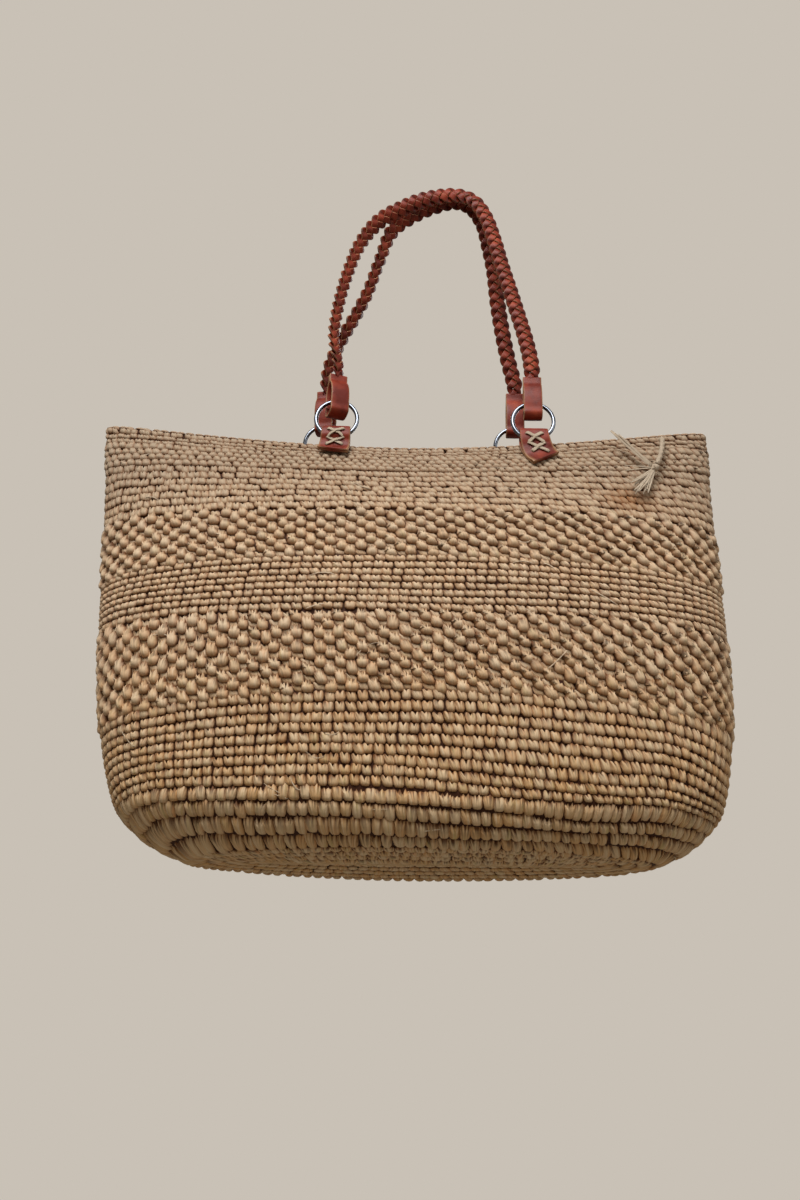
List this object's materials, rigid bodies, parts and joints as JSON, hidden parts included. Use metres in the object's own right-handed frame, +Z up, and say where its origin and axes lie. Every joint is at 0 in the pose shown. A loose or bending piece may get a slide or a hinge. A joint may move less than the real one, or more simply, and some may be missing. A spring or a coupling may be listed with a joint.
{
  "type": "raffia tote bag",
  "caption": "Crocheted raffia tote with an oval base, an open mouth, braided leather handles on steel rings sewn to the rim with leather tabs, and a raffia tie.",
  "frame": {"origin": "middle of the bag's width and depth, at the plane of its flat base", "axes": "+Z up through the mouth, -Y the front with the tie, +X the front's right hand side"},
  "size_m": [0.4606, 0.1614, 0.5534],
  "materials": {
    "raffia": "natural crocheted raffia, matt with a slight straw sheen",
    "pale_raffia": "pale raffia strands, matt",
    "leather": "reddish brown vegetable tanned leather, satin, with paler cut edges",
    "steel": "polished round steel wire"
  },
  "bodies": {
    "bag": {"bag_body": "raffia", "tab_front_left": "leather", "tab_front_right": "leather", "tab_back_left": "leather", "tab_back_right": "leather", "tab_stitches_front_left": "pale_raffia", "tab_stitches_front_right": "pale_raffia", "tab_stitches_back_left": "pale_raffia", "tab_stitches_back_right": "pale_raffia", "tie_cord": "raffia", "tie_knot": "raffia", "tie_tassel": "pale_raffia", "tie_blades": "pale_raffia"},
    "front_left_ring": {"ring_front_left": "steel"},
    "front_right_ring": {"ring_front_right": "steel"},
    "front_handle": {"handle_braid_front": "leather", "strap_loop_front_left": "leather", "strap_loop_front_right": "leather"},
    "back_left_ring": {"ring_back_left": "steel"},
    "back_right_ring": {"ring_back_right": "steel"},
    "back_handle": {"handle_braid_back": "leather", "strap_loop_back_left": "leather", "strap_loop_back_right": "leather"}
  },
  "joints": [
    {"name": "front_left_ring_turn", "type": "hinge", "parent": "bag", "child": "front_left_ring", "pos_m": [-0.0544, -0.02217, 0.31989], "axis": [1, 0, 0], "range_deg": [0, 90]},
    {"name": "front_right_ring_turn", "type": "hinge", "parent": "bag", "child": "front_right_ring", "pos_m": [0.0926, -0.02217, 0.31989], "axis": [1, 0, 0], "range_deg": [0, 90]},
    {"name": "front_handle_swing", "type": "hinge", "parent": "front_left_ring", "child": "front_handle", "pos_m": [0.0191, -0.02008, 0.34723], "axis": [1, 0, 0], "range_deg": [0, 75]},
    {"name": "back_left_ring_turn", "type": "hinge", "parent": "bag", "child": "back_left_ring", "pos_m": [-0.0649, 0.02202, 0.31986], "axis": [-1, 0, 0], "range_deg": [0, 90]},
    {"name": "back_right_ring_turn", "type": "hinge", "parent": "bag", "child": "back_right_ring", "pos_m": [0.0821, 0.02202, 0.31986], "axis": [-1, 0, 0], "range_deg": [0, 90]},
    {"name": "back_handle_swing", "type": "hinge", "parent": "back_left_ring", "child": "back_handle", "pos_m": [0.0086, 0.01994, 0.3472], "axis": [-1, 0, 0], "range_deg": [0, 75]}
  ],
  "couplings": [
    {"joint": "front_right_ring_turn", "follows": "front_left_ring_turn", "ratio": 1},
    {"joint": "back_right_ring_turn", "follows": "back_left_ring_turn", "ratio": 1}
  ]
}
